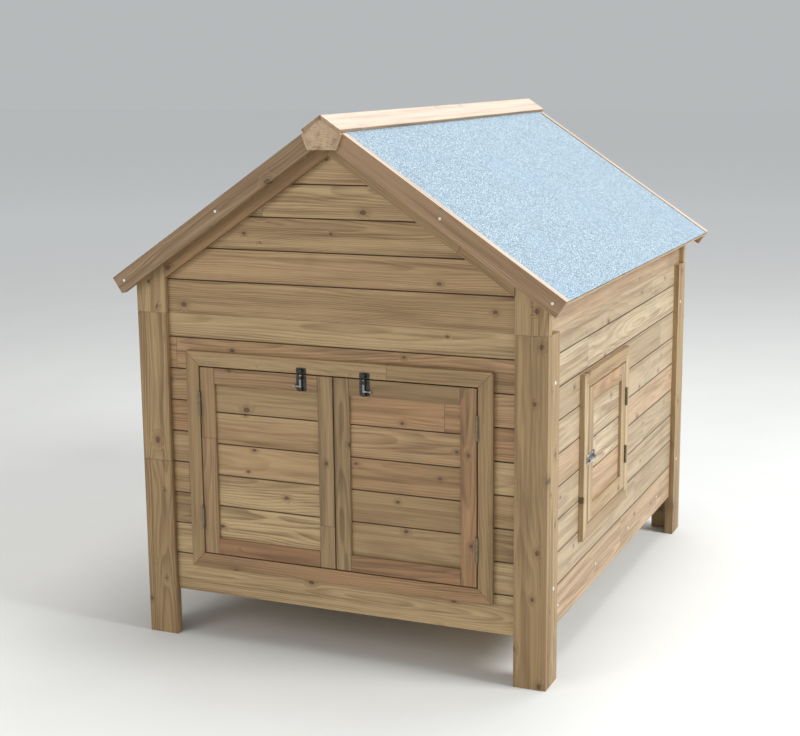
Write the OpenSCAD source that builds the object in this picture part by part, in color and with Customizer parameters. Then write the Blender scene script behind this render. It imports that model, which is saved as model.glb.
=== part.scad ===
// Gable-roofed rabbit hutch in tongue-and-groove boards.
// Front faces -Y, the small side door faces +X, and the feet stand on z = 0.
// The ridge runs along Y, and the origin is the middle of the roof's plan.

/* [Body] */
// Width over the front posts
body_w = 1068; // [900:1:1300]
// Depth over the front and rear posts
body_d = 1374; // [1150:1:1660]
// Height of the boards' lower edge above the ground
leg_clear = 120; // [80:1:200]
// Height of the joint between the lower panels and the gable panels
joint_z = 837; // [820:1:1010]

/* [Posts and stiles] */
// Width of a front or rear corner post
post_w = 80; // [60:1:100]
// Width of a side panel's stile
side_stile_w = 60; // [45:1:80]
// Thickness of posts and stiles
post_t = 24; // [22:1:32]

/* [Boards] */
// Cover width of one board
pitch = 80; // [64:1:96]
// Height of the lowest board of a wall
bottom_board_h = 97; // [80:1:118]
// Height of the lowest board of a gable
gable_board_h = 84; // [70:1:100]
// Thickness of a board
board_t = 10; // [9:1:12]
// Depth of the boards behind the posts' outer faces
recess = 14; // [12:1:18]
// Width of the chamfer along a board's seam
seam_chamfer = 1.5; // [0.8:0.1:2.5]

/* [Front doorway] */
// Width of the front opening
front_open_w = 732; // [600:1:870]
// Height of the front opening
front_open_h = 482; // [400:1:560]
// Height of the front opening's sill above the ground
front_open_z = 228; // [200:1:260]

/* [Side doorway] */
// Width of the side opening
side_open_w = 354; // [290:1:430]
// Height of the side opening
side_open_h = 348; // [290:1:420]
// Height of the side opening's sill above the ground
side_open_z = 308; // [250:1:350]
// Distance from the front face to the middle of the side opening
side_open_mid = 513; // [400:1:620]

/* [Doors] */
// Width of a casing piece round a doorway
casing_w = 36; // [30:1:44]
// Thickness of the casing
casing_t = 13; // [11:1:16]
// Width of a door's stiles and rails
door_rail_w = 40; // [38:1:50]
// Thickness of a door's stiles and rails
door_t = 18; // [16:1:22]
// Depth of a door's boards behind its face
door_recess = 7; // [5:1:9]
// Thickness of a door's boards
door_board_t = 8; // [6:1:9]
// Height of a door's lowest board
door_board_h = 84; // [64:1:100]
// Gap round each door
door_gap = 3; // [2.6:0.1:4]

/* [Hinges] */
// Length of a front door's hinge
front_hinge_l = 60; // [48:1:76]
// Length of the side door's hinge
side_hinge_l = 48; // [40:1:60]
// Radius of a hinge knuckle
knuckle_r = 3; // [2.6:0.1:3.6]
// Radius of a hinge pin
hinge_pin_r = 1.4; // [1.2:0.1:1.6]
// Distance from a door's end to the middle of its hinge
hinge_inset = 92; // [70:1:110]

/* [Bolts] */
// Length of a bolt's plate
bolt_l = 38; // [36:1:46]
// Width of a bolt's plate
bolt_w = 26; // [22:1:32]
// Radius of a bolt's rod
rod_r = 3; // [2.5:0.1:3.5]
// Distance from the front doors' split to each front bolt
bolt_x = 83; // [60:1:120]
// Height of the side bolt above the ground
side_bolt_z = 475; // [420:1:540]

/* [Roof] */
// Slope of the roof in degrees
slope = 34; // [31:1:36]
// Overhang of the roof beyond each side post
over_side = 49; // [40:1:70]
// Height of the roof's lower edge above the joint of the panels
eave_rise = 86; // [70:1:110]
// Overhang of the front barge boards
over_front = 30; // [24:1:60]
// Overhang of the rear barge boards
over_rear = 88; // [40:1:120]
// Width of a barge board
barge_w = 45; // [38:1:54]
// Thickness of a barge board
barge_t = 24; // [18:1:28]
// Thickness of the roof boards
deck_t = 10; // [8:1:14]
// Thickness of the mineral felt
felt_t = 2.5; // [2:0.1:4]
// Depth of the felt below the barge boards' top edges
felt_lip = 2.5; // [1:0.1:5]
// Length of each cap board down the slope
cap_l = 56; // [46:1:60]
// Thickness of a cap board
cap_t = 9; // [7:1:12]
// Projection of the ridge blocks past the barge boards
nose = 10; // [4:1:20]
// Width of a ridge block's foot
block_foot_w = 72; // [60:1:84]
// Width of the batten under each gable slope
batten_w = 57; // [45:1:68]
// Thickness of the battens
batten_t = 16; // [12:1:20]

/* [Inside] */
// Thickness of the floor
floor_t = 12; // [9:1:18]
// Height and width of a floor bearer
bearer = 38; // [30:1:45]
// Width of the ridge beam
ridge_beam_w = 38; // [30:1:50]
// Height of the ridge beam at its sides
ridge_beam_h = 50; // [40:1:70]

/* [Hidden] */
$fn = 32;

// Hairline gap between neighbouring pieces of one frame or one panel
hair = 0.4;
// Clearance between sloping faces that rest on each other
seat_gap = 0.1;
// Tongue of a board
tongue_h = 5;
tongue_t = 3;
// Clearance between hinge parts that turn past each other
turn_gap = 0.3;
// Radial clearance of a hinge pin
pin_fit = 0.08;
// Hinge leaves
leaf_t = 1.1;
leaf_depth = 15;
// Bolt hardware: plate thickness, guide width, length and height, and its clearances
plate_t = 1.5;
guide_w = 12;
guide_l = 9;
guide_h = 10.5;
rod_fit = 0.1;
keeper_l = 14;
keeper_gap = 4;
keeper_fit = 0.5;
knob_r = 2.2;
knob_reach = 14;
knob_head_r = 3.2;
knob_head_h = 5;
knob_play = 0.4;
rod_start = 0.5;
rod_short = 1;
plate_set_back = 0.5;
// Screws: heads on the stiles, and on the barge boards and side boards; shank and hole
stile_head_r = 5;
barge_head_r = 3.5;
head_h = 1.2;
shank_r = 1.9;
shank_l = 12;
board_shank_l = 8;
hole_fit = 0.1;
// Distance from a stile's ends, and from a barge board's ends, to its screws
stile_screw_inset = 114;
barge_screw_low = 24;
barge_screw_high = 0.467;
// Four screws along the lowest side boards: height over the board's foot, gap and shift forward
board_screw_z = 43;
board_screw_gap = 0.249;
board_screw_shift = 56;
// Square end of the barge boards, down the slope from the apex
barge_start = cap_l + 6;

// Roof planes, in depth below the barge boards' top plane
felt_top = -felt_lip;
deck_top = felt_top - felt_t;
deck_under = deck_top - deck_t;
wall_top = deck_under - seat_gap;
roof_len = body_d + over_front + over_rear + 2 * nose;
front_y = -roof_len / 2 + nose + over_front;
rear_y = front_y + body_d;
roof_half_w = body_w / 2 + over_side;
eave_z = joint_z + eave_rise;
apex_z = eave_z + roof_half_w * tan(slope);
slope_len = roof_half_w / cos(slope);

// Faces and insides
casing_face = recess - casing_t;
wall_in = recess + board_t;
inner_half_w = body_w / 2 - post_t;
board_half_w = body_w / 2 - post_w;
side_len = body_d - 2 * post_t;
side_mid_y = (front_y + rear_y) / 2;
side_door_x = front_y + side_open_mid - side_mid_y;
axis_depth = casing_face - knuckle_r - 0.5;
front_door_w = (front_open_w - 3 * door_gap) / 2;
front_door_h = front_open_h - 2 * door_gap;
side_door_w = side_open_w - 2 * door_gap;
side_door_h = side_open_h - 2 * door_gap;
floor_z = leg_clear + bearer;
floor_in = max(wall_in, post_t) + 1;

// A point of the roof's section: s down the right slope, n out of it
function roof_pt(s, n) = [s * cos(slope) + n * sin(slope), apex_z - s * sin(slope) + n * cos(slope)];
// Distance down the slope at which depth n meets the vertical line at x
function plumb(x, n) = (x - n * sin(slope)) / cos(slope);
// Height of depth n at x
function roof_z(x, n) = apex_z - x * tan(slope) + n / cos(slope);

// Seam heights of a wall, a gable and a door
wall_seams = [for (z = [leg_clear + bottom_board_h : pitch : joint_z - pitch / 4]) z];
gable_top = roof_z(0, wall_top);
gable_seams = [for (z = [joint_z + gable_board_h : pitch : gable_top - pitch / 4]) z];
function door_seams(z0, h) =
    [for (z = [z0 + door_rail_w + door_board_h : pitch : z0 + h - door_rail_w - pitch / 4]) z];

// ---- places ----
// Each wall is drawn in its own view: x along it, y = 0 at the outer face and growing inwards.
module on_front() translate([0, front_y, 0]) children();
module on_rear() translate([0, rear_y, 0]) rotate([0, 0, 180]) children();
module on_right() translate([body_w / 2, side_mid_y, 0]) rotate([0, 0, 90]) children();
module on_left() translate([-body_w / 2, side_mid_y, 0]) rotate([0, 0, -90]) children();

// Extrudes a section drawn in x and z from y0 to y1
module along_y(y0, y1)
    translate([0, y1, 0]) rotate([90, 0, 0]) linear_extrude(height = y1 - y0) children();

module box(x0, x1, y0, y1, z0, z1)
    translate([x0, y0, z0]) cube([x1 - x0, y1 - y0, z1 - z0]);

// ---- boards ----
// Section of one board, z up, with the chamfers, tongue and groove that it has
module board_section(h, t, low_seam, high_seam, tongue, groove) {
    c_low = low_seam ? seam_chamfer : 0;
    c_high = high_seam ? seam_chamfer : 0;
    difference() {
        union() {
            polygon(concat(
                low_seam ? [[0, c_low], [c_low, 0]] : [[0, 0]],
                [[t, 0], [t, h]],
                high_seam ? [[c_high, h], [0, h - c_high]] : [[0, h]]
            ));
            if (tongue)
                translate([(t - tongue_t) / 2, h - hair])
                    square([tongue_t, tongue_h + hair]);
        }
        if (groove)
            translate([(t - tongue_t) / 2 - hair, -1])
                square([tongue_t + 2 * hair, tongue_h + hair + 1]);
    }
}

// Boards from x0 to x1 and za to zb. A seam too near either end is left out, so that
// the strip beyond it stays part of its neighbour.
module board_run(x0, x1, za, zb, seams, depth, t) {
    thin = 2 * tongue_h;
    cuts = concat([za], [for (z = seams) if (z > za + thin && z < zb - thin) z], [zb]);
    last = len(cuts) - 2;
    for (i = [0 : last]) {
        low = i > 0;
        high = i < last;
        z0 = cuts[i] + (low ? hair / 2 : 0);
        z1 = cuts[i + 1] - (high ? hair / 2 : 0);
        translate([x0, depth, z0])
            rotate([90, 0, 90])
                linear_extrude(height = x1 - x0)
                    board_section(z1 - z0, t, low, high, high, low);
    }
}

module wall_boards(x0, x1, za, zb)
    board_run(x0, x1, za, zb, wall_seams, recess, board_t);

// ---- frames ----
// Four mitred pieces round an opening
module casing(w, h, z) {
    for (side = [-1, 1]) {
        translate([0, casing_face + casing_t, z + h / 2])
            rotate([90, 0, 0])
                linear_extrude(height = casing_t) {
                    polygon([
                        [side * w / 2, -h / 2 + hair],
                        [side * (w / 2 + casing_w), -h / 2 - casing_w + hair],
                        [side * (w / 2 + casing_w), h / 2 + casing_w - hair],
                        [side * w / 2, h / 2 - hair]
                    ]);
                    polygon([
                        [-w / 2 + hair, side * h / 2],
                        [-w / 2 - casing_w + hair, side * (h / 2 + casing_w)],
                        [w / 2 + casing_w - hair, side * (h / 2 + casing_w)],
                        [w / 2 - hair, side * h / 2]
                    ]);
                }
    }
}

// Stiles and rails of a door whose lower left corner is at x, z
module door_frame(x, w, z, h) {
    for (px = [x, x + w - door_rail_w])
        box(px, px + door_rail_w, casing_face, casing_face + door_t, z, z + h);
    for (pz = [z, z + h - door_rail_w])
        box(x + door_rail_w + hair, x + w - door_rail_w - hair,
            casing_face, casing_face + door_t, pz, pz + door_rail_w);
}

module door_boards(x, w, z, h)
    board_run(x + door_rail_w, x + w - door_rail_w, z + door_rail_w, z + h - door_rail_w,
        door_seams(z, h), casing_face + door_recess, door_board_t);

// ---- hinges ----
// A hinge stands on its axis with the door on its +x side. The pin and outer knuckles stay.
module hinge_zone(l, middle) {
    third = l / 3;
    if (middle)
        translate([0, 0, -third / 2 + turn_gap]) linear_extrude(height = third - 2 * turn_gap) children();
    else
        for (z = [-l / 2, l / 2 - third])
            translate([0, 0, z]) linear_extrude(height = third) children();
}

module hinge_half_section(x0) {
    circle(r = knuckle_r);
    translate([x0, 0]) square([leaf_t, knuckle_r + turn_gap + leaf_t]);
}

module hinge_fixed(l) {
    x0 = -door_gap / 2;
    hinge_zone(l, false) hinge_half_section(x0);
    box(x0, x0 + leaf_t, knuckle_r + turn_gap, leaf_depth, -l / 2, l / 2);
    translate([0, 0, -l / 2]) cylinder(r = hinge_pin_r, h = l);
}

module hinge_moving(l) {
    x0 = door_gap / 2 - leaf_t;
    difference() {
        union() {
            hinge_zone(l, true) hinge_half_section(x0);
            box(x0, x0 + leaf_t, knuckle_r + turn_gap, leaf_depth, -l / 2, l / 2);
        }
        translate([0, 0, -l]) cylinder(r = hinge_pin_r + pin_fit, h = 2 * l);
    }
}

// Places both hinges of a door: side is -1 for a hinge on the left edge, 1 on the right
module at_hinges(edge_x, side, z, h)
    for (hz = [z + hinge_inset, z + h - hinge_inset])
        translate([edge_x, axis_depth, hz]) mirror([side > 0 ? 1 : 0, 0, 0]) children();

module at_left_hinges()
    on_front()
        at_hinges(-(front_open_w - door_gap) / 2, -1, front_open_z + door_gap, front_door_h) children();
module at_right_hinges()
    on_front()
        at_hinges((front_open_w - door_gap) / 2, 1, front_open_z + door_gap, front_door_h) children();
module at_side_hinges()
    on_right()
        at_hinges(side_door_x + (side_open_w - door_gap) / 2, 1,
            side_open_z + door_gap, side_door_h) children();

// ---- bolts ----
// A bolt lies on y = 0 and slides towards +z. Its plate starts at z = 0.
module guide(z, l, r) {
    difference() {
        box(-guide_w / 2, guide_w / 2, -guide_h, -plate_t / 2, z, z + l);
        translate([0, -(guide_h + plate_t) / 2, z - 1]) cylinder(r = r, h = l + 2);
    }
}

module bolt_plate() {
    box(-bolt_w / 2, bolt_w / 2, -plate_t, 0, 0, bolt_l);
    guide(0, guide_l, rod_r + rod_fit);
    guide(bolt_l - guide_l, guide_l, rod_r + rod_fit);
}

module bolt_rod(side) {
    knob_z = guide_l + knob_r + knob_play;
    translate([0, -(guide_h + plate_t) / 2, 0]) {
        translate([0, 0, rod_start])
            cylinder(r = rod_r, h = bolt_l + keeper_gap - rod_short - rod_start);
        translate([0, 0, knob_z]) rotate([0, side * 90, 0]) {
            cylinder(r = knob_r, h = knob_reach);
            translate([0, 0, knob_reach]) cylinder(r = knob_head_r, h = knob_head_h);
        }
    }
}

module bolt_keeper() {
    z = bolt_l + keeper_gap;
    box(-bolt_w / 2, bolt_w / 2, -plate_t, 0, z, z + keeper_l);
    guide(z, keeper_l, rod_r + keeper_fit);
}

bolt_z = front_open_z + front_open_h - door_gap - plate_set_back - bolt_l;
module at_front_bolt(side) translate([side * bolt_x, front_y + casing_face, bolt_z]) children();
module at_side_bolt()
    translate([
        body_w / 2 - casing_face,
        side_mid_y + side_door_x - side_door_w / 2 + plate_set_back + bolt_l,
        side_bolt_z
    ]) rotate([90, 0, 0]) rotate([0, 0, 90]) children();

// ---- screws ----
module screw(head_r, length = shank_l) {
    translate([0, 0, -length]) cylinder(r = shank_r, h = length);
    cylinder(r1 = head_r, r2 = head_r * 0.7, h = head_h);
}
module screw_hole(length = shank_l)
    translate([0, 0, -length - 1]) cylinder(r = shank_r + hole_fit, h = length + 2);

// Two screws in a side stile whose middle is at x in its wall's view
module at_stile_screws(x)
    for (z = [leg_clear + stile_screw_inset, joint_z - stile_screw_inset])
        translate([x, 0, z]) rotate([90, 0, 0]) children();

module at_all_stile_screws()
    for (end = [-1, 1])
        at_stile_screws(end * (side_len - side_stile_w) / 2) children();

// Four screws in a side's lowest board; forward is 1 or -1, whichever way the wall's x runs
module at_board_screws(forward)
    for (i = [-1.5:1:1.5])
        translate([
            i * board_screw_gap * side_len + forward * board_screw_shift,
            recess,
            leg_clear + board_screw_z
        ])
            rotate([90, 0, 0]) children();

// Two screws in each front barge board
module at_barge_screws(side)
    for (s = [slope_len - barge_screw_low, barge_start + barge_screw_high * (slope_len - barge_start)]) {
        p = roof_pt(s, -barge_w / 2);
        translate([side * p[0], front_y - over_front, p[1]]) rotate([90, 0, 0]) children();
    }

// ---- walls ----
module post() box(0, post_w, 0, post_t, 0, joint_z);
module front_post_left() color("peru") on_front() translate([-body_w / 2, 0, 0]) post();
module front_post_right() color("peru") on_front() translate([board_half_w, 0, 0]) post();
module rear_post_left() color("peru") on_rear() translate([board_half_w, 0, 0]) post();
module rear_post_right() color("peru") on_rear() translate([-body_w / 2, 0, 0]) post();

module front_boards_below()
    color("burlywood") on_front() wall_boards(-board_half_w, board_half_w, leg_clear, front_open_z);
module front_boards_above()
    color("burlywood") on_front()
        wall_boards(-board_half_w, board_half_w, front_open_z + front_open_h, joint_z);
module front_boards_left()
    color("burlywood") on_front()
        wall_boards(-board_half_w, -front_open_w / 2, front_open_z, front_open_z + front_open_h);
module front_boards_right()
    color("burlywood") on_front()
        wall_boards(front_open_w / 2, board_half_w, front_open_z, front_open_z + front_open_h);
module front_casing() color("tan") on_front() casing(front_open_w, front_open_h, front_open_z);
module rear_boards()
    color("burlywood") on_rear() wall_boards(-board_half_w, board_half_w, leg_clear, joint_z);

module side_stile(x) {
    difference() {
        box(x - side_stile_w / 2, x + side_stile_w / 2, 0, post_t, 0, joint_z);
        at_stile_screws(x) screw_hole();
    }
}
stile_x = (side_len - side_stile_w) / 2;
module left_stile_front() color("peru") on_left() side_stile(stile_x);
module left_stile_rear() color("peru") on_left() side_stile(-stile_x);
module right_stile_front() color("peru") on_right() side_stile(-stile_x);
module right_stile_rear() color("peru") on_right() side_stile(stile_x);

side_half = side_len / 2 - side_stile_w;
side_open_low = side_door_x - side_open_w / 2;
side_open_high = side_door_x + side_open_w / 2;
module left_boards()
    color("burlywood") on_left()
        difference() {
            wall_boards(-side_half, side_half, leg_clear, joint_z);
            at_board_screws(1) screw_hole(board_shank_l);
        }
module right_boards_below()
    color("burlywood") on_right()
        difference() {
            wall_boards(-side_half, side_half, leg_clear, side_open_z);
            at_board_screws(-1) screw_hole(board_shank_l);
        }
module right_boards_above()
    color("burlywood") on_right()
        wall_boards(-side_half, side_half, side_open_z + side_open_h, joint_z);
module right_boards_front()
    color("burlywood") on_right()
        wall_boards(-side_half, side_open_low, side_open_z, side_open_z + side_open_h);
module right_boards_rear()
    color("burlywood") on_right()
        wall_boards(side_open_high, side_half, side_open_z, side_open_z + side_open_h);
module right_casing()
    color("tan") on_right() translate([side_door_x, 0, 0]) casing(side_open_w, side_open_h, side_open_z);

// One board along each side above the stiles, its top cut to the roof's slope
module eave_boards()
    color("burlywood")
        for (side = [-1, 1])
            along_y(front_y + post_t, rear_y - post_t)
                polygon([
                    [side * inner_half_w, joint_z + hair],
                    [side * (inner_half_w + board_t), joint_z + hair],
                    [side * (inner_half_w + board_t), roof_z(inner_half_w + board_t, wall_top)],
                    [side * inner_half_w, roof_z(inner_half_w, wall_top)]
                ]);

// ---- gables ----
module gable_posts()
    for (side = [-1, 1])
        along_y(0, post_t)
            polygon([
                [side * board_half_w, joint_z + hair],
                [side * body_w / 2, joint_z + hair],
                [side * body_w / 2, roof_z(body_w / 2, wall_top)],
                [side * board_half_w, roof_z(board_half_w, wall_top)]
            ]);

module gable_boards()
    intersection() {
        board_run(-board_half_w, board_half_w, joint_z, gable_top, gable_seams, recess, board_t);
        along_y(0, wall_in + 1)
            polygon([
                [-board_half_w, joint_z + hair],
                [board_half_w, joint_z + hair],
                [board_half_w, roof_z(board_half_w, wall_top)],
                [0, gable_top],
                [-board_half_w, roof_z(board_half_w, wall_top)]
            ]);
    }

module gable_battens()
    for (side = [-1, 1])
        along_y(recess - batten_t, recess)
            polygon([
                [side * hair / 2, roof_z(hair / 2, wall_top - batten_w)],
                [side * (board_half_w - hair), roof_z(board_half_w - hair, wall_top - batten_w)],
                [side * (board_half_w - hair), roof_z(board_half_w - hair, wall_top)],
                [side * hair / 2, roof_z(hair / 2, wall_top)]
            ]);

module front_gable_posts() color("peru") on_front() gable_posts();
module front_gable_boards() color("burlywood") on_front() gable_boards();
module front_gable_battens() color("tan") on_front() gable_battens();
module rear_gable_posts() color("peru") on_rear() gable_posts();
module rear_gable_boards() color("burlywood") on_rear() gable_boards();
module rear_gable_battens() color("tan") on_rear() gable_battens();

// ---- inside ----
module floor()
    color("wheat")
        box(-body_w / 2 + floor_in, body_w / 2 - floor_in, front_y + floor_in, rear_y - floor_in,
            floor_z, floor_z + floor_t);

module floor_bearers()
    color("tan")
        for (end = [-1, 0, 1]) {
            y = side_mid_y + end * (side_len / 2 - bearer);
            half = end == 0 ? body_w / 2 - wall_in : inner_half_w;
            box(-half, half, y - bearer / 2, y + bearer / 2, leg_clear, floor_z);
        }

module ridge_beam()
    color("tan")
        along_y(front_y + wall_in, rear_y - wall_in) {
            half = ridge_beam_w / 2;
            side_z = roof_z(half, wall_top);
            polygon([
                [-half, side_z - ridge_beam_h], [half, side_z - ridge_beam_h],
                [half, side_z], [0, gable_top], [-half, side_z]
            ]);
        }

// ---- roof ----
// A slab on the right slope between depths n0 and n1, from the ridge's plumb cut down to s1
module slope_slab(n0, n1, s1, y0, y1)
    along_y(y0, y1)
        polygon([
            roof_pt(plumb(hair / 2, n0), n0), roof_pt(s1, n0),
            roof_pt(s1, n1), roof_pt(plumb(hair / 2, n1), n1)
        ]);

deck_y0 = front_y - over_front + barge_t;
deck_y1 = rear_y + over_rear - barge_t;
module deck() slope_slab(deck_under, deck_top, slope_len, deck_y0, deck_y1);
module felt() slope_slab(deck_top, felt_top, slope_len, deck_y0, deck_y1);
module roof_deck_right() color("tan") deck();
module roof_deck_left() color("tan") mirror([1, 0, 0]) deck();
module roof_felt_right() color("lightblue") felt();
module roof_felt_left() color("lightblue") mirror([1, 0, 0]) felt();

module barge(y0)
    along_y(y0, y0 + barge_t)
        polygon([
            roof_pt(barge_start, -barge_w), roof_pt(slope_len, -barge_w),
            roof_pt(slope_len, 0), roof_pt(barge_start, 0)
        ]);
module barge_front_right()
    color("peru") difference() {
        barge(front_y - over_front);
        at_barge_screws(1) screw_hole();
    }
module barge_front_left()
    color("peru") difference() {
        mirror([1, 0, 0]) barge(front_y - over_front);
        at_barge_screws(-1) screw_hole();
    }
module barge_rear_right() color("peru") barge(deck_y1);
module barge_rear_left() color("peru") mirror([1, 0, 0]) barge(deck_y1);

module cap_board()
    slope_slab(felt_top + seat_gap, felt_top + cap_t, cap_l, -roof_len / 2, roof_len / 2);
module ridge_cap() {
    color("peru") cap_board();
    color("peru") mirror([1, 0, 0]) cap_board();
}

// Five-sided section of a ridge block with a foot of half width w
module block_section(w) {
    low_z = roof_pt(barge_start, -barge_w)[1];
    high = roof_pt(barge_start - seat_gap, felt_top);
    polygon([[-w, low_z], [w, low_z], high, [0, roof_z(0, felt_top)], [-high[0], high[1]]]);
}

// A block closes the ridge between two barge boards, and its wider nose stands in front of them
module ridge_block() {
    along_y(-roof_len / 2, -roof_len / 2 + nose - seat_gap) block_section(block_foot_w / 2);
    along_y(-roof_len / 2 + nose - seat_gap, -roof_len / 2 + nose + barge_t)
        block_section(roof_pt(barge_start - seat_gap, -barge_w)[0]);
}
module ridge_blocks() {
    color("tan") ridge_block();
    color("tan") mirror([0, 1, 0]) ridge_block();
}

// ---- doors ----
front_door_z = front_open_z + door_gap;
left_door_x = -front_open_w / 2 + door_gap;
right_door_x = door_gap / 2;
side_door_low = side_door_x - side_door_w / 2;
module left_door_frame()
    color("peru") on_front() door_frame(left_door_x, front_door_w, front_door_z, front_door_h);
module left_door_boards()
    color("burlywood") on_front() door_boards(left_door_x, front_door_w, front_door_z, front_door_h);
module right_door_frame()
    color("peru") on_front() door_frame(right_door_x, front_door_w, front_door_z, front_door_h);
module right_door_boards()
    color("burlywood") on_front() door_boards(right_door_x, front_door_w, front_door_z, front_door_h);
module side_door_frame()
    color("peru") on_right()
        door_frame(side_door_low, side_door_w, side_open_z + door_gap, side_door_h);
module side_door_boards()
    color("burlywood") on_right()
        door_boards(side_door_low, side_door_w, side_open_z + door_gap, side_door_h);

module left_door_hinges() color("silver") at_left_hinges() hinge_fixed(front_hinge_l);
module left_hinge_leaves() color("silver") at_left_hinges() hinge_moving(front_hinge_l);
module right_door_hinges() color("silver") at_right_hinges() hinge_fixed(front_hinge_l);
module right_hinge_leaves() color("silver") at_right_hinges() hinge_moving(front_hinge_l);
module side_door_hinges() color("silver") at_side_hinges() hinge_fixed(side_hinge_l);
module side_hinge_leaves() color("silver") at_side_hinges() hinge_moving(side_hinge_l);

module left_bolt_plate() color("dimgray") at_front_bolt(-1) bolt_plate();
module left_bolt_rod() color("gray") at_front_bolt(-1) bolt_rod(-1);
module right_bolt_plate() color("dimgray") at_front_bolt(1) bolt_plate();
module right_bolt_rod() color("gray") at_front_bolt(1) bolt_rod(1);
module side_bolt_plate() color("silver") at_side_bolt() bolt_plate();
module side_bolt_rod() color("silver") at_side_bolt() bolt_rod(1);
module bolt_keepers() {
    color("dimgray") at_front_bolt(-1) bolt_keeper();
    color("dimgray") at_front_bolt(1) bolt_keeper();
    color("silver") at_side_bolt() bolt_keeper();
}

module screws() {
    color("white") on_right() at_all_stile_screws() screw(stile_head_r);
    color("white") on_left() at_all_stile_screws() screw(stile_head_r);
    color("white") on_right() at_board_screws(-1) screw(barge_head_r, board_shank_l);
    color("white") on_left() at_board_screws(1) screw(barge_head_r, board_shank_l);
    color("white") for (side = [-1, 1]) at_barge_screws(side) screw(barge_head_r);
}

front_post_left();
front_post_right();
front_boards_below();
front_boards_above();
front_boards_left();
front_boards_right();
front_casing();
front_gable_posts();
front_gable_boards();
front_gable_battens();
rear_post_left();
rear_post_right();
rear_boards();
rear_gable_posts();
rear_gable_boards();
rear_gable_battens();
left_stile_front();
left_stile_rear();
left_boards();
right_stile_front();
right_stile_rear();
right_boards_below();
right_boards_above();
right_boards_front();
right_boards_rear();
right_casing();
eave_boards();
floor();
floor_bearers();
ridge_beam();
roof_deck_left();
roof_deck_right();
roof_felt_left();
roof_felt_right();
barge_front_left();
barge_front_right();
barge_rear_left();
barge_rear_right();
ridge_cap();
ridge_blocks();
left_door_frame();
left_door_boards();
left_door_hinges();
left_hinge_leaves();
right_door_frame();
right_door_boards();
right_door_hinges();
right_hinge_leaves();
side_door_frame();
side_door_boards();
side_door_hinges();
side_hinge_leaves();
left_bolt_plate();
left_bolt_rod();
right_bolt_plate();
right_bolt_rod();
side_bolt_plate();
side_bolt_rod();
bolt_keepers();
screws();
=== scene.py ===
"""Rabbit hutch: materials, hardware details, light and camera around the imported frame."""

import math
import random
import zlib

import bmesh
import bpy
from mathutils import Matrix, Vector


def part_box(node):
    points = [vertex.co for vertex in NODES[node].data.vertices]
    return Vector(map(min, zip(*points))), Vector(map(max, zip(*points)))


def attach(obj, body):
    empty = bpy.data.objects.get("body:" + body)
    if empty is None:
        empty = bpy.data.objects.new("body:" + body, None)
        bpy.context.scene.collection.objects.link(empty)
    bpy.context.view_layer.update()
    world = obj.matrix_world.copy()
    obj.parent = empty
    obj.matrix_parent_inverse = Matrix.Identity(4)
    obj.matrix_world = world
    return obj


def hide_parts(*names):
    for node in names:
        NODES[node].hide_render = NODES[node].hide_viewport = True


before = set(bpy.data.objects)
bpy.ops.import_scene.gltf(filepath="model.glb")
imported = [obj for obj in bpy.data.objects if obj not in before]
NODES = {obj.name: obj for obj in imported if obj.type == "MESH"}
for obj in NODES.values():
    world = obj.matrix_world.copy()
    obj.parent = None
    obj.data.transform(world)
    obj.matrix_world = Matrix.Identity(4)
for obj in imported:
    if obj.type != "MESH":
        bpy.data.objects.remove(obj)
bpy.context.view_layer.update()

# ---- sizes in metres ----
SLOPE = math.radians(34)
PITCH = 0.080
BOTTOM_BOARD_H = 0.097
GABLE_BOARD_H = 0.084
FIRST_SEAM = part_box("front_boards_below")[0].z + BOTTOM_BOARD_H
GABLE_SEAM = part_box("front_gable_boards")[0].z + GABLE_BOARD_H

X, Y, Z = Vector((1, 0, 0)), Vector((0, 1, 0)), Vector((0, 0, 1))
DOWN_RIGHT = Vector((math.cos(SLOPE), 0, -math.sin(SLOPE)))
DOWN_LEFT = Vector((-math.cos(SLOPE), 0, -math.sin(SLOPE)))


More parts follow.
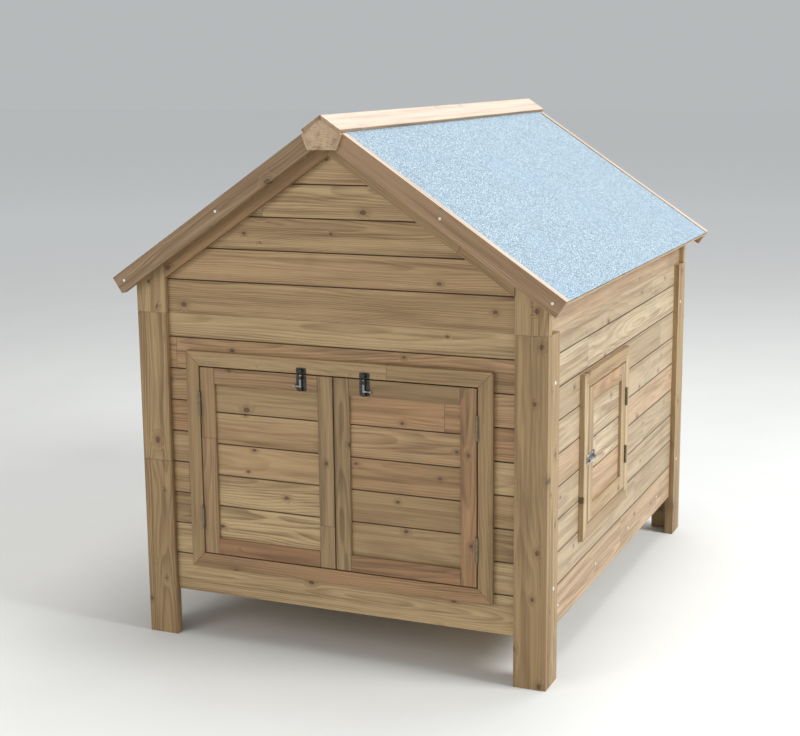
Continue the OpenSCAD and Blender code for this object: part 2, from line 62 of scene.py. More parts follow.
# ---- node helpers ----
class Nodes:
    """Makes shader nodes in one material and links them."""

    def __init__(self, name):
        self.material = bpy.data.materials.new(name)
        self.material.use_nodes = True
        self.tree = self.material.node_tree
        self.tree.nodes.clear()
        self.shader = self.add("ShaderNodeBsdfPrincipled")
        out = self.add("ShaderNodeOutputMaterial")
        self.tree.links.new(self.shader.outputs["BSDF"], out.inputs["Surface"])

    def add(self, kind, **settings):
        node = self.tree.nodes.new(kind)
        for key, value in settings.items():
            setattr(node, key, value)
        return node

    def put(self, socket, value):
        """Links value into socket if it is an output, or sets it."""
        if isinstance(value, bpy.types.NodeSocket):
            self.tree.links.new(value, socket)
        else:
            socket.default_value = value

    def math(self, operation, a, b=0.0, c=0.0, clamp=False):
        node = self.add("ShaderNodeMath", operation=operation, use_clamp=clamp)
        for socket, value in zip(node.inputs, (a, b, c)):
            self.put(socket, value)
        return node.outputs[0]

    def vector(self, operation, a, b=(0, 0, 0)):
        node = self.add("ShaderNodeVectorMath", operation=operation)
        self.put(node.inputs[0], a)
        self.put(node.inputs[1], b)
        return node.outputs["Value" if operation == "LENGTH" else "Vector"]

    def split(self, vector):
        node = self.add("ShaderNodeSeparateXYZ")
        self.put(node.inputs[0], vector)
        return node.outputs

    def noise(self, vector, scale=1.0, detail=3.0, rough=0.5):
        node = self.add("ShaderNodeTexNoise")
        self.put(node.inputs["Vector"], vector)
        self.put(node.inputs["Scale"], scale)
        self.put(node.inputs["Detail"], detail)
        self.put(node.inputs["Roughness"], rough)
        return node.outputs["Fac"]

    def smooth(self, value, low, high, to_low=0.0, to_high=1.0):
        node = self.add("ShaderNodeMapRange", interpolation_type="SMOOTHSTEP")
        for socket, v in zip(node.inputs, (value, low, high, to_low, to_high)):
            self.put(socket, v)
        return node.outputs[0]

    def mix(self, factor, a, b):
        node = self.add("ShaderNodeMix", data_type="RGBA")
        self.put(node.inputs["Factor"], factor)
        self.put(node.inputs[6], a)
        self.put(node.inputs[7], b)
        return node.outputs[2]

    def attribute(self, name):
        return self.add("ShaderNodeAttribute", attribute_name=name).outputs["Vector"]

    def position(self):
        return self.add("ShaderNodeTexCoord").outputs["Object"]

    def upward(self):
        """How far the surface looks up, from -1 to 1."""
        return self.split(self.add("ShaderNodeNewGeometry").outputs["Normal"])[2]

    def combine(self, x, y, z=0.0):
        node = self.add("ShaderNodeCombineXYZ")
        for socket, value in zip(node.inputs, (x, y, z)):
            self.put(socket, value)
        return node.outputs[0]

    def bump(self, height, distance, strength=1.0):
        node = self.add("ShaderNodeBump")
        self.put(node.inputs["Height"], height)
        self.put(node.inputs["Distance"], distance)
        self.put(node.inputs["Strength"], strength)
        self.tree.links.new(node.outputs["Normal"], self.shader.inputs["Normal"])


def rgb(red, green, blue):
    """A colour given as sRGB 0 to 255, as a linear shader colour."""
    def linear(v):
        v /= 255
        return v / 12.92 if v <= 0.04045 else ((v + 0.055) / 1.055) ** 2.4
    return (linear(red), linear(green), linear(blue), 1.0)


# ---- wood ----
def knots_at(n, log, share):
    """Knots, one in each cell of a stretched Voronoi pattern: how much knot, halo and dark ring."""
    along, across, _ = n.split(log)
    per_m, per_m_across = 5.0, 13.0
    cell = n.combine(n.math("MULTIPLY", along, per_m), n.math("MULTIPLY", across, per_m_across))
    voronoi = n.add("ShaderNodeTexVoronoi", feature="F1")
    n.put(voronoi.inputs["Vector"], cell)
    voronoi.inputs["Scale"].default_value = 1.0
    offset = n.vector("SUBTRACT", cell, voronoi.outputs["Position"])
    offset = n.vector("MULTIPLY", offset, (0.85 / per_m, 1.2 / per_m_across, 0.0))
    wander = n.math("MULTIPLY_ADD", n.noise(log, 190.0, 2.0), 0.004, -0.002)
    from_knot = n.math("ADD", n.vector("LENGTH", offset), wander)
    pick, size, _ = n.split(voronoi.outputs["Color"])
    present = n.math("GREATER_THAN", pick, 1.0 - share)
    inside = n.math("DIVIDE", from_knot, n.math("MULTIPLY_ADD", size, 0.0045, 0.0025))
    knot = n.math("MULTIPLY", n.smooth(inside, 1.2, 0.7), present)
    halo = n.math("MULTIPLY", n.smooth(inside, 4.2, 0.9), present)
    rim = n.math("MULTIPLY", n.smooth(inside, 1.15, 0.95), n.smooth(inside, 0.70, 0.95))
    return knot, halo, n.math("MULTIPLY", rim, present)


def stretched(n, log, along, across, detail, rough):
    """Noise drawn out along the grain, with its scales in cycles a metre."""
    mapping = n.add("ShaderNodeMapping")
    n.put(mapping.inputs["Vector"], log)
    mapping.inputs["Scale"].default_value = (along, across, across)
    return n.noise(mapping.outputs[0], 1.0, detail, rough)


def finger_joints(n, along):
    """Lengths of board glued end to end: each length's random value, and the glue line."""
    joints_a_metre = 0.52
    cell = n.math("MULTIPLY", along, joints_a_metre)
    white = n.add("ShaderNodeTexWhiteNoise", noise_dimensions="1D")
    n.put(white.inputs["W"], n.math("FLOOR", cell))
    place = n.math("ABSOLUTE", n.math("SUBTRACT", n.math("FRACT", cell), 0.5))
    return white.outputs["Value"], n.smooth(place, 0.4992, 0.4997)


def growth_rings(n, log, halo, figure):
    """Late wood of the growth rings, bent by slow sway along the log and by the knots."""
    along, across, depth = n.split(log)
    sway = n.math("MULTIPLY_ADD", stretched(n, log, 1.3, 8.0, 3.0, 0.45), 0.05, -0.025)
    radius = n.math("ADD", n.vector("LENGTH", n.combine(across, depth)), sway)
    radius = n.math("MULTIPLY_ADD", halo, 0.010, radius)
    radius = n.math("MULTIPLY_ADD", along, 0.007, radius)
    rings_a_metre = n.math("MULTIPLY_ADD", figure, 170.0, 130.0)
    ring = n.math("FRACT", n.math("MULTIPLY", radius, rings_a_metre))
    return n.math("MULTIPLY", n.smooth(ring, 0.15, 0.86), n.smooth(ring, 1.0, 0.88))


def dirty_edges(n, base, streak, late):
    """Painted shade: a dark line in the seams between boards, where the V-groove lies in shadow.
    Glaze also gathers a little darker at any edge.
    """
    offset, half, board = n.split(n.attribute("edge"))
    margin = n.math("SUBTRACT", half, n.math("ABSOLUTE", offset))
    # painted shade: the seam line darkens the V-groove between boards, where shadow falls
    seam = n.math("MULTIPLY", n.smooth(margin, 0.0023, 0.0009), board)
    pooled = n.math("MULTIPLY", n.smooth(margin, 0.012, 0.001), n.math("MULTIPLY", streak, 0.30))
    base = n.mix(pooled, base, late)
    return n.mix(n.math("MULTIPLY", seam, 0.86), base, rgb(52, 34, 18))


def wood(name, light, tan, late, knots=0.5, gloss=0.46, bleach_and_sky_sheen=0.0):
    """Glazed softwood.

    Each board has its own place in a log, in metres along, across and through it, in the
    attribute "log", its tone in "tone", and its seam edges in "edge".
    The faces that look up are paled by the given share: partly sun bleaching, partly a painted
    reflection of the bright sky.
    """
    n = Nodes(name)
    raw = n.attribute("log")
    tone, warm, figure = n.split(n.attribute("tone"))
    piece, glue = finger_joints(n, n.split(raw)[0])
    shift = n.combine(n.math("MULTIPLY", piece, 40.0), 0.0, n.math("MULTIPLY", piece, 0.02))
    log = n.vector("ADD", raw, shift)
    knot, halo, rim = knots_at(n, log, knots)
    late_wood = growth_rings(n, log, halo, figure)

    fibre = stretched(n, log, 11.0, 640.0, 4.0, 0.65)
    streak = stretched(n, log, 2.0, 62.0, 5.0, 0.62)
    band = stretched(n, log, 1.2, 21.0, 3.0, 0.5)
    cloud = n.noise(log, 6.0, 3.0, 0.5)
    tone = n.math("MULTIPLY_ADD", piece, 0.24, n.math("SUBTRACT", tone, 0.12), clamp=True)

    base = n.mix(tone, light, tan)
    base = n.mix(n.math("MULTIPLY", warm, 0.50), base, rgb(178, 126, 88))
    base = n.mix(n.smooth(band, 0.46, 0.74, 0.0, 0.62), base, tan)
    base = n.mix(n.smooth(band, 0.42, 0.24, 0.0, 0.42), base, light)
    base = n.mix(n.smooth(cloud, 0.52, 0.80, 0.0, 0.35), base, rgb(120, 104, 78))
    base = n.mix(n.smooth(streak, 0.44, 0.76, 0.0, 0.72), base, late)
    ringed = n.math("MULTIPLY", late_wood, n.math("MULTIPLY_ADD", figure, 0.48, 0.22))
    base = n.mix(n.math("MULTIPLY", ringed, n.smooth(streak, 0.30, 0.62, 0.35, 1.0)), base, late)
    base = n.mix(n.smooth(fibre, 0.40, 0.80, 0.0, 0.34), base, rgb(92, 66, 40))
    base = n.mix(n.math("MULTIPLY", halo, 0.42), base, late)
    base = n.mix(n.math("MULTIPLY", knot, 0.80), base, rgb(92, 58, 36))
    base = n.mix(n.math("MULTIPLY", rim, 0.80), base, rgb(48, 30, 18))
    base = n.mix(n.math("MULTIPLY", glue, 0.45), base, rgb(70, 48, 28))
    # painted shade in the board seams, and real glaze pooled at the edges
    base = dirty_edges(n, base, streak, late)
    # painted light: faces that look up are paled, partly sun bleaching and partly a painted
    # reflection of the bright sky
    if bleach_and_sky_sheen:
        bleached_and_sheen_top = n.math("MULTIPLY", n.smooth(n.upward(), 0.35, 0.75),
                      n.smooth(streak, 0.75, 0.30, 0.6, 1.0))
        base = n.mix(n.math("MULTIPLY", bleached_and_sheen_top, bleach_and_sky_sheen), base, rgb(220, 204, 190))

    n.put(n.shader.inputs["Base Color"], base)
    n.put(n.shader.inputs["Roughness"], n.math("MULTIPLY_ADD", streak, 0.26, gloss))
    n.shader.inputs["Specular IOR Level"].default_value = 0.42
    n.shader.inputs["Coat Weight"].default_value = 0.10
    n.shader.inputs["Coat Roughness"].default_value = 0.38
    height = n.math("MULTIPLY_ADD", fibre, 0.55, n.math("MULTIPLY", late_wood, 0.30))
    height = n.math("MULTIPLY_ADD", knot, 0.5, height)
    n.bump(height, 0.0005, 0.55)
    return n.material


# ---- each board's place in a log ----
def loose_parts(mesh):
    """Lists of vertex numbers, one per solid. Vertices at the same place count as joined."""
    key_of, parent = {}, list(range(len(mesh.vertices)))

    def root(i):
        while parent[i] != i:
            parent[i] = parent[parent[i]]
            i = parent[i]
        return i

    for v in mesh.vertices:
        key = tuple(round(c * 20000) for c in v.co)
        first = key_of.setdefault(key, v.index)
        parent[root(v.index)] = root(first)
    for e in mesh.edges:
        parent[root(e.vertices[0])] = root(e.vertices[1])
    parts = {}
    for v in mesh.vertices:
        parts.setdefault(root(v.index), []).append(v.index)
    return sorted(parts.values(), key=lambda p: min(tuple(mesh.vertices[i].co) for i in p))


def corners(mesh, part):
    """Lowest and highest corners of the vertices in part."""
    points = [mesh.vertices[i].co for i in part]
    return (Vector([min(p[a] for p in points) for a in range(3)]),
            Vector([max(p[a] for p in points) for a in range(3)]))


def seeded(*key):
    """A random generator that depends only on the key."""
    return random.Random(zlib.crc32(repr(key).encode()))


def set_logs(node, grain=None, level=None, group=None, tone=(0.0, 1.0), seams=False):
    """Gives every solid of a CAD node its place in a log.

    grain is the direction along the boards, or None for each solid's longest side.
    level is (first seam, pitch) where the boards of several nodes are one course.
    seams says that the solids are boards with a seam at both edges.
    """
    mesh = NODES[node].data
    log = mesh.attributes.new("log", "FLOAT_VECTOR", "POINT")
    tones = mesh.attributes.new("tone", "FLOAT_VECTOR", "POINT")
    edges = mesh.attributes.new("edge", "FLOAT_VECTOR", "POINT")
    solids = [(part, *corners(mesh, part)) for part in loose_parts(mesh)]
    lows = sorted({round(low.z, 4) for _, low, _ in solids})
    for order, (part, low, high) in enumerate(solids):
        size, middle = high - low, (low + high) / 2
        longest = (X, Y, Z)[max(range(3), key=lambda a: size[a])]
        g = (grain(middle) if callable(grain) else grain) or longest
        face = face_direction(g, size)
        across = face.cross(g).normalized()
        edge_low, edge_high = (seam_edges(lows, low.z) if seams
                               else (-abs(size.dot(across)) / 2, abs(size.dot(across)) / 2))
        edge_middle = Vector((0, 0, (edge_low + edge_high) / 2)) if seams else middle
        key = (group or node, order)
        if level:
            course = math.floor((middle.z - level[0]) / level[1])
            key = (group or node, course)
            middle = Vector((middle.x, middle.y, level[0] + (course + 0.5) * level[1]))
        r = seeded(*key)
        start = Vector((r.uniform(5, 60), r.uniform(-0.045, 0.045), r.uniform(0.012, 0.075)))
        colour = Vector((r.uniform(*tone), max(0.0, r.uniform(-0.8, 1)), r.uniform(0, 1)))
        for i in part:
            p = mesh.vertices[i].co
            q = p - middle
            log.data[i].vector = Vector((p.dot(g), q.dot(across), q.dot(face))) + start
            tones.data[i].vector = colour
            from_edge_middle = (p - edge_middle).dot(across)
            edges.data[i].vector = (from_edge_middle, (edge_high - edge_low) / 2, float(seams))


def seam_edges(lows, low):
    """Heights of the seams below and above a board, a metre away where it has none."""
    i = lows.index(round(low, 4))
    return (low if i else low - 1, lows[i + 1] if i + 1 < len(lows) else low + 1)


def face_direction(g, size):
    """The direction through a board's thickness, square to its grain."""
    for axis in sorted((X, Y, Z), key=lambda v: size.dot(v)):
        square = axis - g * axis.dot(g)
        if square.length > 0.3:
            return square.normalized()


def dress(material, *nodes):
    for name in nodes:
        NODES[name].data.materials.clear()
        NODES[name].data.materials.append(material)


def soften(width, *nodes):
    """Rounds the sharp edges of CAD nodes as a plane or sander leaves them."""
    for name in nodes:
        bevel = NODES[name].modifiers.new("edges", "BEVEL")
        bevel.width = width
        bevel.segments = 2
        bevel.limit_method = "ANGLE"
        bevel.angle_limit = math.radians(40)
        bevel.use_clamp_overlap = True
        weld = NODES[name].modifiers.new("weld", "WELD")
        weld.merge_threshold = 0.00002
        NODES[name].modifiers.move(1, 0)
        NODES[name].data.shade_flat()


def sloped(middle):
    """Grain direction of a sloped piece, from the side of the ridge that it is on."""
    return DOWN_RIGHT if middle.x > 0 else DOWN_LEFT


WALL = (FIRST_SEAM, PITCH)
POSTS = ["front_post_left", "front_post_right", "rear_post_left", "rear_post_right",
         "left_stile_front", "left_stile_rear", "right_stile_front", "right_stile_rear"]
GABLE_POSTS = ["front_gable_posts", "rear_gable_posts"]
FRONT_BOARDS = ["front_boards_below", "front_boards_above", "front_boards_left", "front_boards_right"]
RIGHT_BOARDS = ["right_boards_below", "right_boards_above", "right_boards_front", "right_boards_rear"]
GABLES = ["front_gable_boards", "rear_gable_boards"]
BATTENS = ["front_gable_battens", "rear_gable_battens"]
CASINGS = ["front_casing", "right_casing"]
FRAMES = ["left_door_frame", "right_door_frame", "side_door_frame"]
PANELS = ["left_door_boards", "right_door_boards", "side_door_boards"]
BARGES = ["barge_front_left", "barge_front_right", "barge_rear_left", "barge_rear_right"]
INNER = ["floor", "floor_bearers", "ridge_beam", "roof_deck_left", "roof_deck_right"]
FELT = ["roof_felt_left", "roof_felt_right"]


def place_boards():
    """Puts every timber CAD node in its log."""
    for name in FRONT_BOARDS:
        set_logs(name, X, WALL, "front_wall", tone=(0.0, 0.7), seams=True)
    for name in RIGHT_BOARDS:
        set_logs(name, Y, WALL, "right", seams=True)
    set_logs("rear_boards", X, WALL, seams=True)
    set_logs("left_boards", Y, WALL, seams=True)
    for name in GABLES:
        set_logs(name, X, (GABLE_SEAM, PITCH), seams=True)
    for name in PANELS:
        set_logs(name, Y if name.startswith("side") else X, tone=(0.0, 0.7), seams=True)
    for name in POSTS + GABLE_POSTS:
        set_logs(name, Z)
    for name in BATTENS + BARGES:
        set_logs(name, sloped)
    for name in CASINGS + FRAMES + ["ridge_cap"]:
        set_logs(name)
    for name in ("eave_boards", "ridge_beam", "roof_deck_left", "roof_deck_right"):
        set_logs(name, Y)
    for name in ("floor", "floor_bearers"):
        set_logs(name, X)
    set_logs("ridge_blocks", Y, tone=(0.0, 0.2))


def make_wood():
    """Each kind of timber: its light, tan and late wood colours, and its share of knots."""
    board = wood("board_timber", rgb(194, 168, 124), rgb(146, 118, 80), rgb(108, 80, 50), 0.42)
    # painted light: a paler copy of the board timber, standing in for the brighter, paler look of the
    # sunlit right side
    painted_light_board = wood("board_timber_painted_light", rgb(206, 186, 154), rgb(166, 144, 114), rgb(124, 98, 72), 0.42)
    post = wood("post_timber", rgb(196, 170, 126), rgb(152, 124, 84), rgb(110, 82, 52), 0.80)
    trim = wood("trim_timber", rgb(180, 154, 112), rgb(144, 115, 76), rgb(104, 78, 48), 0.45)
    # painted light: a paler copy of the trim timber for the sunlit right side
    painted_light_trim = wood("trim_timber_painted_light", rgb(202, 178, 138), rgb(164, 138, 102),
                     rgb(120, 92, 62), 0.45)
    door = wood("door_timber", rgb(162, 136, 98), rgb(130, 102, 69), rgb(94, 70, 44), 0.55)
    # the roof timber's upward faces are paled: sun bleaching plus a painted sky reflection
    roof = wood("roof_timber", rgb(182, 156, 124), rgb(148, 120, 88), rgb(110, 84, 58), 0.35,
                bleach_and_sky_sheen=0.66)
    inner = wood("inner_timber", rgb(214, 192, 150), rgb(192, 164, 120), rgb(158, 126, 84), 0.40,
                 gloss=0.58)
    place_boards()
    dress(board, *FRONT_BOARDS, *GABLES, "left_door_boards", "right_door_boards", "rear_boards")
    # these parts get the board timber's paler painted-light copy
    dress(painted_light_board, *RIGHT_BOARDS, "side_door_boards", "left_boards", "eave_boards", "ridge_blocks")
    dress(post, *POSTS, *GABLE_POSTS)
    dress(trim, "front_casing", *BATTENS)
    dress(door, "left_door_frame", "right_door_frame")
    # the right casing and side door frame get the trim's paler painted-light copy
    dress(painted_light_trim, "right_casing", "side_door_frame")
    dress(roof, *BARGES, "ridge_cap")
    dress(inner, *INNER)
    soften(0.0012, *POSTS, *GABLE_POSTS, *CASINGS, *BATTENS, *FRAMES, *BARGES,
           "ridge_cap", "ridge_blocks")
    soften(0.0004, *FRONT_BOARDS, *RIGHT_BOARDS, *GABLES, *PANELS, "rear_boards", "left_boards",
           "eave_boards", *INNER)


# ---- roofing felt ----
def make_felt():
    n = Nodes("mineral_felt")
    p = n.position()
    grains = n.add("ShaderNodeTexVoronoi", feature="F1")
    n.put(grains.inputs["Vector"], p)
    n.put(grains.inputs["Scale"], 620.0)
    pick, second, _ = n.split(grains.outputs["Color"])
    coarse = n.noise(p, 210.0, 3.0, 0.6)
    patch = n.noise(p, 5.0, 4.0, 0.6)
    colour = n.mix(pick, rgb(118, 137, 150), rgb(162, 179, 190))
    colour = n.mix(n.smooth(second, 0.86, 0.90), colour, rgb(208, 215, 220))
    colour = n.mix(n.smooth(second, 0.16, 0.12, 0.0, 0.85), colour, rgb(62, 74, 86))
    colour = n.mix(n.smooth(coarse, 0.48, 0.76, 0.0, 0.6), colour, rgb(90, 110, 128))
    colour = n.mix(n.smooth(patch, 0.45, 0.75, 0.0, 0.30), colour, rgb(138, 160, 180))
    # the cut edge shows the dark bitumen under the granules
    colour = n.mix(n.smooth(n.upward(), 0.60, 0.40), colour, rgb(38, 38, 40))
    n.put(n.shader.inputs["Base Color"], colour)
    n.shader.inputs["Roughness"].default_value = 0.92
    n.shader.inputs["Specular IOR Level"].default_value = 0.25
    height = n.math("MULTIPLY_ADD", grains.outputs["Distance"], -0.7, n.math("MULTIPLY", coarse, 0.6))
    n.bump(height, 0.0008, 0.8)
    dress(n.material, *FELT)
    soften(0.0005, *FELT)


# ---- metal ----
def metal(name, colour, rough, spots, metallic=1.0):
    """Plated or lacquered steel with fine spangle and duller, dirtier patches."""
    n = Nodes(name)
    p = n.position()
    patch = n.noise(p, 90.0, 5.0, 0.65)
    fine = n.noise(p, 1400.0, 3.0, 0.6)
    tint = n.mix(n.smooth(patch, 0.42, 0.72, 0.0, 0.6), colour, spots)
    n.put(n.shader.inputs["Base Color"], n.mix(n.math("MULTIPLY", fine, 0.18), tint, spots))
    n.shader.inputs["Metallic"].default_value = metallic
    n.put(n.shader.inputs["Roughness"], n.math("MULTIPLY_ADD", patch, 0.30, rough))
    n.bump(n.math("MULTIPLY_ADD", fine, 0.6, patch), 0.0002, 0.35)
    return n.material


ZINC = metal("zinc_plate", rgb(206, 208, 206), 0.22, rgb(140, 142, 138))
DULL = metal("dull_zinc", rgb(134, 128, 108), 0.40, rgb(92, 84, 66), 0.85)
# painted reflection: the front bolts are zinc, coloured dark as if reflecting dark surroundings
DARK_REFLECTION_ZINC = metal("dark_steel", rgb(74, 74, 72), 0.26, rgb(36, 34, 32), 0.85)
ROD = metal("bright_rod", rgb(168, 168, 164), 0.20, rgb(84, 82, 78))
SCREW = metal("screw_plate", rgb(232, 230, 222), 0.30, rgb(190, 186, 172), 0.55)


# ---- detailed hardware ----
def extrude_profile(bm, points, z0, z1):
    """A prism over a closed outline of x, y points, from z0 to z1."""
    low = [bm.verts.new((x, y, z0)) for x, y in points]
    high = [bm.verts.new((x, y, z1)) for x, y in points]
    bm.faces.new(list(reversed(low)))
    bm.faces.new(high)
    for i in range(len(points)):
        j = (i + 1) % len(points)
        bm.faces.new((low[i], low[j], high[j], high[i]))


def lathe(bm, profile, matrix, steps=28):
    """Turns (radius, height) points round the local z axis. The ends lie on the axis."""
    rings = []
    for radius, height in profile:
        if radius < 1e-7:
            rings.append([bm.verts.new(matrix @ Vector((0, 0, height)))])
        else:
            rings.append([
                bm.verts.new(matrix @ Vector((
                    radius * math.cos(2 * math.pi * k / steps),
                    radius * math.sin(2 * math.pi * k / steps),
                    height,
                )))
                for k in range(steps)
            ])
    for a, b in zip(rings, rings[1:]):
        for k in range(steps):
            k2 = (k + 1) % steps
            if len(a) == 1:
                bm.faces.new((a[0], b[k2], b[k]))
            elif len(b) == 1:
                bm.faces.new((a[k], a[k2], b[0]))
            else:
                bm.faces.new((a[k], a[k2], b[k2], b[k]))


def dome(radius, height, steps=5):
    """Profile of a low domed head standing on z = 0, from its edge to its crown."""
    return [(0, 0), (radius, 0)] + [
        (radius * math.cos(t), height * (0.25 + 0.75 * math.sin(t)))
        for t in (math.pi / 2 * k / steps for k in range(steps))
    ] + [(0, height)]


def rounded_plate(width, z0, z1, corner=0.003, steps=4):
    """Outline of a plate in x and z with round corners."""
    points = []
    for cx, cz, start in (
        (width / 2 - corner, z1 - corner, 0),
        (-width / 2 + corner, z1 - corner, 90),
        (-width / 2 + corner, z0 + corner, 180),
        (width / 2 - corner, z0 + corner, 270),
    ):
        for k in range(steps + 1):
            a = math.radians(start + 90 * k / steps)
            points.append((cx + corner * math.cos(a), cz + corner * math.sin(a)))
    return points


def finish_piece(name, bm, matrix, material, body, replaced=(), smooth=35):
    bmesh.ops.recalc_face_normals(bm, faces=bm.faces)
    bm.transform(matrix)
    mesh = bpy.data.meshes.new(name)
    bm.to_mesh(mesh)
    bm.free()
    piece = bpy.data.objects.new(name, mesh)
    bpy.context.scene.collection.objects.link(piece)
    mesh.materials.append(material)
    mesh.shade_smooth()
    mesh.set_sharp_from_angle(angle=math.radians(smooth))
    if replaced:
        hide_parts(*replaced)
    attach(piece, body)
    return piece


# Bolt sizes in metres
PLATE_T = 0.0015
PLATE_W = 0.026
PLATE_BACK = 0.0001
STRAP_HALF = 0.0045
STRAP_T = 0.0012
STRAP_L = 0.009
STRAP_END = 0.0005
ROD_R = 0.003
ROD_HEIGHT = 0.0060
ROD_START = 0.0005
ROD_SHORT = 0.001
KEEPER_GAP = 0.004
KEEPER_L = 0.014
KNOB_R = 0.0022
KNOB_PLAY = 0.0004
SCREW_HEAD_H = 0.0012


def strap(bm, z0, z1):
    """An arched strap over the rod with two flat feet, open along z."""
    inner, outer = ROD_R + 0.0002, STRAP_HALF
    foot = outer + 0.0015
    arc = [math.pi * k / 14 for k in range(15)]
    top = -PLATE_T - STRAP_T
    outline = [(foot, -PLATE_T), (foot, top), (outer, top)]
    outline += [(outer * math.cos(a), -ROD_HEIGHT - outer * math.sin(a)) for a in arc]
    outline += [(-outer, top), (-foot, top), (-foot, -PLATE_T)]
    outline += [(-inner, -PLATE_T)]
    outline += [(-inner * math.cos(a), -ROD_HEIGHT - inner * math.sin(a)) for a in arc]
    outline += [(inner, -PLATE_T)]
    extrude_profile(bm, outline, z0, z1)


def plate(bm, z0, z1):
    """A flat plate with round corners and a domed screw in each corner."""
    points = rounded_plate(PLATE_W, z0, z1)
    back = [bm.verts.new((x, -PLATE_BACK, z)) for x, z in points]
    front = [bm.verts.new((x, -PLATE_T, z)) for x, z in points]
    bm.faces.new(back)
    bm.faces.new(list(reversed(front)))
    for i in range(len(points)):
        j = (i + 1) % len(points)
        bm.faces.new((back[i], front[i], front[j], back[j]))
    outward = Matrix.Rotation(math.radians(90), 4, "X")
    inset = min(0.0045, (z1 - z0) / 2)
    for x in (-PLATE_W / 2 + 0.0038, PLATE_W / 2 - 0.0038):
        for z in sorted({z0 + inset, z1 - inset}):
            lathe(bm, dome(0.0024, 0.0011), Matrix.Translation((x, -PLATE_T, z)) @ outward, 20)


def bolt_places():
    """For each bolt: where its local frame stands. Local z is the way it slides, -y is outwards."""
    side_turn = Matrix.Rotation(math.radians(90), 4, "X") @ Matrix.Rotation(math.radians(90), 4, "Z")
    places = {}
    for side in ("left", "right"):
        low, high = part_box(side + "_bolt_plate")
        places[side] = Matrix.Translation(((low.x + high.x) / 2, high.y, low.z))
    low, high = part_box("side_bolt_plate")
    places["side"] = Matrix.Translation((low.x, high.y, (low.z + high.z) / 2)) @ side_turn
    return places


def make_rod(bm, end, knob_side):
    """The rod from just inside its plate to end, and its knob towards x or -x."""
    centre = Matrix.Translation((0, -ROD_HEIGHT, 0))
    lathe(bm, [(0, ROD_START), (ROD_R * 0.8, ROD_START), (ROD_R, 0.0013),
               (ROD_R, end - 0.0022), (ROD_R * 0.55, end - 0.0002), (0, end)], centre, 32)
    knob = [(0, 0), (KNOB_R, 0), (KNOB_R, 0.0105), (0.0017, 0.0125), (0.0030, 0.0145),
            (0.0032, 0.0160), (0.0031, 0.0175), (0.0022, 0.0187), (0, 0.0190)]
    turn = Matrix.Rotation(math.radians(90 * knob_side), 4, "Y")
    lift = Matrix.Translation((0, 0, STRAP_L + KNOB_R + KNOB_PLAY))
    lathe(bm, knob, centre @ lift @ turn, 24)


def make_bolts():
    low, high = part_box("left_bolt_plate")
    plate_l = high.z - low.z
    keeper_z0 = plate_l + KEEPER_GAP
    keeper_z1 = keeper_z0 + KEEPER_L
    for side, place in bolt_places().items():
        # the side bolt keeps the bright zinc; the front bolts get the zinc with a painted dark
        # reflection
        steel, slot = (ZINC, "zinc") if side == "side" else (DARK_REFLECTION_ZINC, "dark_steel")
        bm = bmesh.new()
        plate(bm, 0, plate_l)
        strap(bm, STRAP_END, STRAP_L)
        strap(bm, plate_l - STRAP_L, plate_l - STRAP_END)
        finish_piece(f"{side}_bolt_body", bm, place, steel, f"{side}_door",
                     [f"{side}_bolt_plate"])
        bm = bmesh.new()
        plate(bm, keeper_z0, keeper_z1)
        strap(bm, keeper_z0 + 0.002, keeper_z1 - 0.002)
        # one CAD node holds all three keepers, so only the first piece replaces it
        finish_piece(f"{side}_bolt_keeper", bm, place, steel, "hutch",
                     ["bolt_keepers"] if side == "left" else [])
        bm = bmesh.new()
        make_rod(bm, keeper_z0 - ROD_SHORT, -1 if side == "left" else 1)
        finish_piece(f"{side}_bolt_pin", bm, place, ROD, f"{side}_bolt",
                     [f"{side}_bolt_rod"])


def make_screws():
    """Domed cross-head screws where the CAD node has its plain heads."""
    mesh = NODES["screws"].data
    bm = bmesh.new()
    for part in loose_parts(mesh):
        low, high = corners(mesh, part)
        size, middle = high - low, (low + high) / 2
        axis = max(range(3), key=lambda a: size[a])
        out = Vector((0, 0, 0))
        out[axis] = -1 if axis == 1 else (1 if middle.x > 0 else -1)
        seat = Vector(middle)
        seat[axis] = (high[axis] if out[axis] > 0 else low[axis]) - out[axis] * SCREW_HEAD_H
        place = Matrix.Translation(seat) @ out.to_track_quat("Z", "Y").to_matrix().to_4x4()
        cross_head(bm, place, size.z / 2, SCREW_HEAD_H)
    finish_piece("screw_heads", bm, Matrix.Identity(4), SCREW, "hutch", ["screws"])


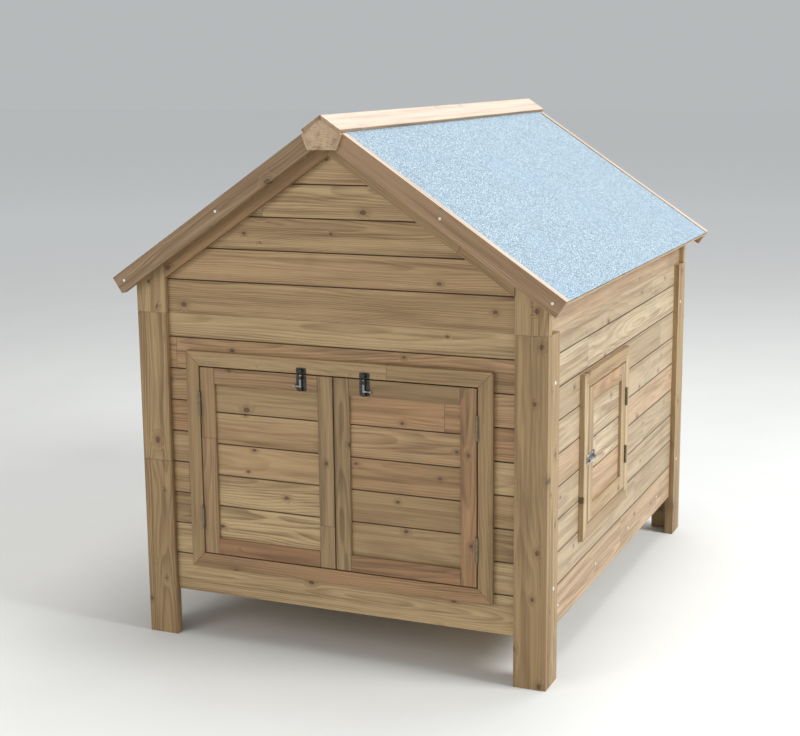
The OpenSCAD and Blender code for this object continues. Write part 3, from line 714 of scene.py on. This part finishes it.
def cross_head(bm, place, radius, height):
    """A domed head whose crown has a cross-shaped recess."""
    steps = 32
    arm, half, floor_z = 0.5 * radius, 0.13 * radius, height * 0.35

    def at(x, y, z):
        return bm.verts.new(place @ Vector((x, y, z)))

    def recess_r(angle):
        c, s = abs(math.cos(angle)), abs(math.sin(angle))
        big, small = max(c, s), min(c, s)
        return min(arm / big, half / small if small > 1e-6 else 1e9)

    angles = [2 * math.pi * k / steps for k in range(steps)]
    rings = [[at(radius * math.cos(a), radius * math.sin(a), 0) for a in angles]]
    for share, z in ((1.0, 0.35), (0.93, 0.62), (0.80, 0.84), (0.66, 0.96)):
        rings.append([at(radius * share * math.cos(a), radius * share * math.sin(a), height * z)
                      for a in angles])
    rings.append([at(recess_r(a) * math.cos(a), recess_r(a) * math.sin(a), height) for a in angles])
    rings.append([at(recess_r(a) * 0.9 * math.cos(a), recess_r(a) * 0.9 * math.sin(a), floor_z)
                  for a in angles])
    for a, b in zip(rings, rings[1:]):
        for k in range(steps):
            k2 = (k + 1) % steps
            bm.faces.new((a[k], a[k2], b[k2], b[k]))
    centre = at(0, 0, floor_z * 0.6)
    under = at(0, 0, 0)
    for k in range(steps):
        k2 = (k + 1) % steps
        bm.faces.new((rings[-1][k], rings[-1][k2], centre))
        bm.faces.new((rings[0][k2], rings[0][k], under))


def make_hinges():
    hinges = ["left_door_hinges", "left_hinge_leaves", "right_door_hinges", "right_hinge_leaves",
              "side_door_hinges", "side_hinge_leaves"]
    dress(DULL, *hinges)
    for name in hinges:
        NODES[name].data.shade_smooth()
        NODES[name].data.set_sharp_from_angle(angle=math.radians(35))


# ---- surroundings ----
def make_floor():
    bm = bmesh.new()
    half = 40.0
    bm.faces.new([bm.verts.new(p) for p in
                  ((-half, -half, 0), (half, -half, 0), (half, half, 0), (-half, half, 0))])
    mesh = bpy.data.meshes.new("studio_floor")
    bm.to_mesh(mesh)
    bm.free()
    floor = bpy.data.objects.new("studio_floor", mesh)
    bpy.context.scene.collection.objects.link(floor)
    n = Nodes("studio_floor")
    tint = n.noise(n.position(), 3.0, 4.0)
    near = n.mix(tint, rgb(214, 213, 210), rgb(222, 221, 218))
    far = n.smooth(n.vector("LENGTH", n.position()), 3.0, 12.0)
    n.put(n.shader.inputs["Base Color"], n.mix(far, near, rgb(252, 252, 252)))
    n.shader.inputs["Roughness"].default_value = 0.85
    mesh.materials.append(n.material)


def area_light(name, place, aim, size, power, colour):
    data = bpy.data.lights.new(name, "AREA")
    data.shape = "DISK"
    data.size = size
    data.energy = power
    data.color = colour
    lamp = bpy.data.objects.new(name, data)
    lamp.location = place
    lamp.rotation_euler = (Vector(aim) - Vector(place)).to_track_quat("-Z", "Y").to_euler()
    bpy.context.scene.collection.objects.link(lamp)


def make_light():
    world = bpy.data.worlds.new("studio")
    world.use_nodes = True
    sky = world.node_tree.nodes["Background"]
    sky.inputs["Color"].default_value = (0.95, 0.98, 1.0, 1.0)
    sky.inputs["Strength"].default_value = 0.50
    bpy.context.scene.world = world
    area_light("key", (5.4, -0.4, 4.2), (0, 0, 0.6), 2.6, 400, (0.94, 0.98, 1.0))
    area_light("fill", (-2.6, -5.6, 3.0), (0, 0, 0.6), 3.6, 108, (1.0, 0.97, 0.93))
    area_light("top", (0.5, 1.2, 5.8), (0, 0, 0.8), 3.2, 170, (0.98, 0.99, 1.0))


def make_camera():
    """The camera stands to the front right of the hutch, above its eaves, looking slightly down."""
    data = bpy.data.cameras.new("camera")
    data.sensor_width = 36.0
    data.lens = 68.15
    data.shift_x = 0.008
    data.shift_y = -0.011
    camera = bpy.data.objects.new("camera", data)
    yaw, pitch, roll = (math.radians(a) for a in (23.30, -11.04, -0.59))
    look = Matrix.Rotation(yaw, 4, "Z") @ Matrix.Rotation(math.pi / 2 + pitch, 4, "X")
    camera.matrix_world = (
        Matrix.Translation((1.5244, -3.8875, 1.4359)) @ look @ Matrix.Rotation(roll, 4, "Z")
    )
    bpy.context.scene.collection.objects.link(camera)
    bpy.context.scene.camera = camera


make_camera()
make_wood()
make_felt()
make_hinges()
make_bolts()
make_screws()
make_floor()
make_light()
bpy.context.scene.view_settings.view_transform = "Standard"
